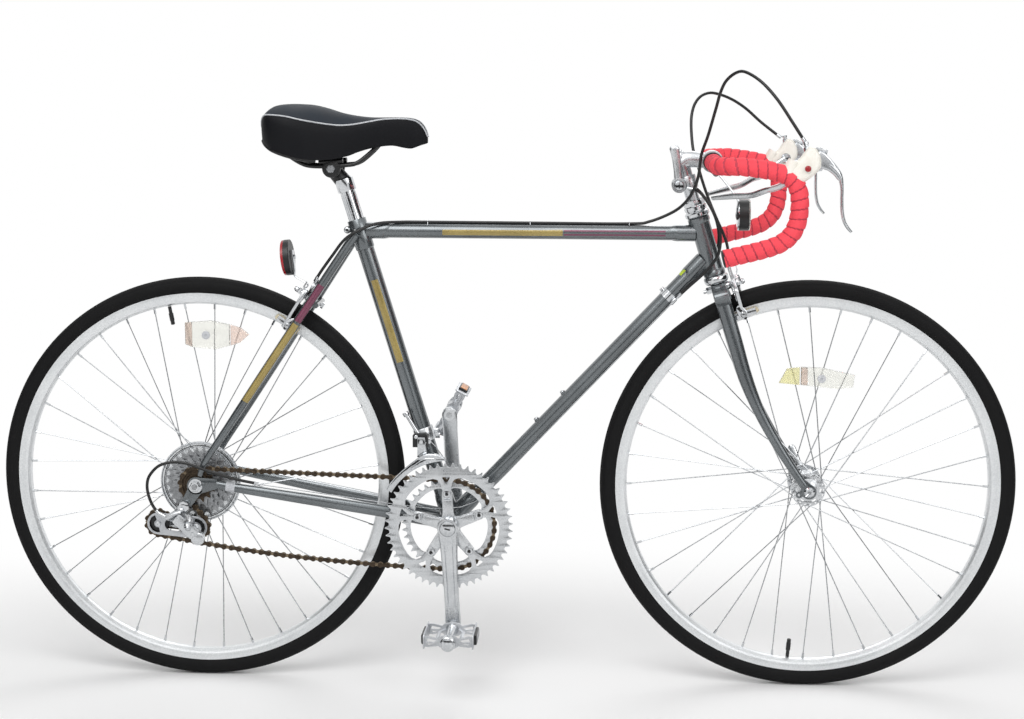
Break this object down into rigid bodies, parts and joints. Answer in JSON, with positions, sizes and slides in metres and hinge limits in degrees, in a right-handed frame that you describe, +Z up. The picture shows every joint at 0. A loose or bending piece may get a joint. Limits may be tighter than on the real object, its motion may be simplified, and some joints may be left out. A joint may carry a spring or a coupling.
{
  "type": "touring bicycle",
  "caption": "Touring bicycle with a lugged diamond frame, drop handlebars, side-pull brakes, stem-mounted shift levers and a double chainset with derailleurs.",
  "frame": {"origin": "on the ground midway between the two axles, on the middle plane of the frame", "axes": "+X forwards, +Y to the rider's left, +Z up; the chain is on the -Y side"},
  "size_m": [1.7178, 0.436, 1.0352],
  "materials": {
    "frame_paint": "semi-gloss metallic",
    "alloy": "satin",
    "steel": "satin",
    "chrome": "polished",
    "tyre": "matte",
    "reflector_plastic": "gloss",
    "bar_tape": "woven",
    "hood": "matte",
    "saddle_cover": "satin",
    "chain_steel": "oiled",
    "cable_housing": "semi-gloss"
  },
  "bodies": {
    "frame": {"top_tube": "frame_paint", "down_tube": "frame_paint", "head_tube": "frame_paint", "seat_tube": "frame_paint", "chainstay_right": "frame_paint", "chainstay_left": "frame_paint", "seatstay_right": "frame_paint", "seatstay_left": "frame_paint", "rear_reflector": "reflector_plastic", "headset_lower": "chrome", "rear_axle": "steel", "chain": "chain_steel", "rear_derailleur_body": "alloy", "front_derailleur_body": "alloy", "rear_brake_cable": "cable_housing", "rear_shift_cable": "cable_housing", "front_shift_cable": "cable_housing"},
    "steering": {"fork_crown": "frame_paint", "fork_blade_right": "frame_paint", "fork_blade_left": "frame_paint", "headset_upper": "chrome", "front_axle": "steel", "stem": "alloy", "handlebar": "alloy", "bar_tape_right": "bar_tape", "bar_tape_left": "bar_tape", "brake_hood_right": "hood", "brake_hood_left": "hood", "front_reflector": "reflector_plastic", "front_brake_cable": "cable_housing"},
    "front_wheel": {"front_tyre": "tyre", "front_rim": "alloy", "front_hub": "alloy"},
    "rear_wheel": {"rear_tyre": "tyre", "rear_rim": "alloy", "rear_hub": "alloy"},
    "front_wheel_lever": {"front_qr_lever": "steel"},
    "shifter_right": {"shift_lever_right": "alloy"},
    "shifter_left": {"shift_lever_left": "alloy"},
    "brake_lever_r": {"brake_lever_right": "alloy"},
    "brake_lever_l": {"brake_lever_left": "alloy"},
    "front_brake_arm_r": {"front_brake_arm_right": "alloy"},
    "front_brake_arm_l": {"front_brake_arm_left": "alloy"},
    "rear_brake_arm_r": {"rear_brake_arm_right": "alloy"},
    "rear_brake_arm_l": {"rear_brake_arm_left": "alloy"},
    "crankset": {"chainrings": "alloy", "crank_right": "alloy", "crank_left": "alloy"},
    "pedal_r": {"pedal_right": "alloy"},
    "pedal_l": {"pedal_left": "alloy"},
    "cogs": {"freewheel": "steel"},
    "derailleur_link": {"rear_derailleur_link": "alloy"},
    "derailleur_knuckle": {"rear_derailleur_knuckle": "alloy"},
    "derailleur_cage": {"rear_derailleur_cage": "alloy"},
    "upper_pulley": {"guide_pulley": "reflector_plastic"},
    "lower_pulley": {"tension_pulley": "reflector_plastic"},
    "chain_guide": {"front_derailleur_cage": "alloy"},
    "seat": {"seatpost": "alloy", "saddle": "saddle_cover", "saddle_frame": "chrome"}
  },
  "joints": [
    {"name": "steering", "type": "hinge", "parent": "frame", "child": "steering", "pos_m": [0.46293, 0, 0.347], "axis": [-0.2924, 0, 0.9563], "range_deg": [-60, 60], "deforming": ["rear_brake_cable", "rear_shift_cable", "front_shift_cable"]},
    {"name": "front_wheel_spin", "type": "hinge", "parent": "steering", "child": "front_wheel", "pos_m": [0.5125, 0, 0.347], "axis": [0, 1, 0], "continuous": true},
    {"name": "rear_wheel_spin", "type": "hinge", "parent": "frame", "child": "rear_wheel", "pos_m": [-0.5125, 0, 0.347], "axis": [0, 1, 0], "continuous": true},
    {"name": "crank_spin", "type": "hinge", "parent": "frame", "child": "crankset", "pos_m": [-0.08704, 0, 0.28], "axis": [0, 1, 0], "continuous": true, "deforming": ["chain"]},
    {"name": "freewheel_spin", "type": "hinge", "parent": "frame", "child": "cogs", "pos_m": [-0.5125, 0, 0.347], "axis": [0, 1, 0], "continuous": true},
    {"name": "pedal_spin_right", "type": "hinge", "parent": "crankset", "child": "pedal_r", "pos_m": [-0.0787, 0, 0.1102], "axis": [0, 1, 0], "continuous": true},
    {"name": "pedal_spin_left", "type": "hinge", "parent": "crankset", "child": "pedal_l", "pos_m": [-0.0953, 0, 0.4498], "axis": [0, 1, 0], "continuous": true},
    {"name": "brake_lever_squeeze_right", "type": "hinge", "parent": "steering", "child": "brake_lever_r", "pos_m": [0.483, 0, 0.887], "axis": [0, 1, 0], "range_deg": [0, 15], "stiffness_Nm_per_rad": 3, "springref_deg": -5.73, "deforming": ["rear_brake_cable"]},
    {"name": "brake_lever_squeeze_left", "type": "hinge", "parent": "steering", "child": "brake_lever_l", "pos_m": [0.483, 0, 0.887], "axis": [0, 1, 0], "range_deg": [0, 15], "stiffness_Nm_per_rad": 3, "springref_deg": -5.73, "deforming": ["front_brake_cable"]},
    {"name": "front_brake_close_right", "type": "hinge", "parent": "steering", "child": "front_brake_arm_r", "pos_m": [0.3612, 0, 0.6798], "axis": [0.9563, 0, 0.2924], "range_deg": [0, 2]},
    {"name": "front_brake_close_left", "type": "hinge", "parent": "steering", "child": "front_brake_arm_l", "pos_m": [0.3612, 0, 0.6798], "axis": [0.9563, 0, 0.2924], "range_deg": [-2, 0]},
    {"name": "rear_brake_close_left", "type": "hinge", "parent": "frame", "child": "rear_brake_arm_l", "pos_m": [-0.309, 0, 0.65], "axis": [-0.8359, 0, 0.5489], "range_deg": [0, 2]},
    {"name": "rear_brake_close_right", "type": "hinge", "parent": "frame", "child": "rear_brake_arm_r", "pos_m": [-0.309, 0, 0.65], "axis": [-0.8359, 0, 0.5489], "range_deg": [-2, 0]},
    {"name": "shift_lever_pull_right", "type": "hinge", "parent": "steering", "child": "shifter_right", "pos_m": [0.293, 0, 0.85], "axis": [0, -1, 0], "range_deg": [0, 80], "deforming": ["rear_shift_cable"]},
    {"name": "shift_lever_pull_left", "type": "hinge", "parent": "steering", "child": "shifter_left", "pos_m": [0.293, 0, 0.85], "axis": [0, -1, 0], "range_deg": [0, 80], "deforming": ["front_shift_cable"]},
    {"name": "derailleur_swing", "type": "hinge", "parent": "frame", "child": "derailleur_link", "pos_m": [-0.546, -0.074, 0.284], "axis": [0, 0.6024, 0.7982], "range_deg": [0, 56.6], "deforming": ["chain", "rear_shift_cable"]},
    {"name": "derailleur_level", "type": "hinge", "parent": "derailleur_link", "child": "derailleur_knuckle", "pos_m": [-0.52135, -0.0846, 0.292], "axis": [0, 0.6024, 0.7982], "range_deg": [-56.6, 0], "deforming": ["chain"]},
    {"name": "chain_tension", "type": "hinge", "parent": "derailleur_knuckle", "child": "derailleur_cage", "pos_m": [-0.515, 0, 0.274], "axis": [0, 1, 0], "range_deg": [-95, 8], "stiffness_Nm_per_rad": 0.6, "deforming": ["chain"]},
    {"name": "guide_pulley_spin", "type": "hinge", "parent": "derailleur_cage", "child": "upper_pulley", "pos_m": [-0.515, 0, 0.274], "axis": [0, 1, 0], "continuous": true},
    {"name": "tension_pulley_spin", "type": "hinge", "parent": "derailleur_cage", "child": "lower_pulley", "pos_m": [-0.57973, 0, 0.27995], "axis": [0, 1, 0], "continuous": true},
    {"name": "chain_guide_shift", "type": "slide", "parent": "frame", "child": "chain_guide", "axis": [0, -1, 0], "range_m": [0, 0.0075], "deforming": ["chain"]},
    {"name": "seat_height", "type": "slide", "parent": "frame", "child": "seat", "axis": [-0.2924, 0, 0.9563], "range_m": [-0.04, 0.06]},
    {"name": "front_lever_turn", "type": "hinge", "parent": "steering", "child": "front_wheel_lever", "pos_m": [0.5125, 0, 0.347], "axis": [0, 1, 0], "range_deg": [-90, 90]}
  ],
  "couplings": [
    {"joint": "freewheel_spin", "follows": "crank_spin", "ratio": 2.7143},
    {"joint": "tension_pulley_spin", "follows": "crank_spin", "ratio": 3.8},
    {"joint": "guide_pulley_spin", "follows": "crank_spin", "ratio": -3.8},
    {"joint": "front_brake_close_right", "follows": "brake_lever_squeeze_left", "ratio": 0.13},
    {"joint": "front_brake_close_left", "follows": "brake_lever_squeeze_left", "ratio": -0.13},
    {"joint": "rear_brake_close_left", "follows": "brake_lever_squeeze_right", "ratio": 0.13},
    {"joint": "rear_brake_close_right", "follows": "brake_lever_squeeze_right", "ratio": -0.13},
    {"joint": "derailleur_swing", "follows": "shift_lever_pull_right", "ratio": 0.7075},
    {"joint": "derailleur_level", "follows": "shift_lever_pull_right", "ratio": -0.7075},
    {"joint": "chain_guide_shift", "follows": "shift_lever_pull_left", "m_per_rad": 0.00537}
  ]
}
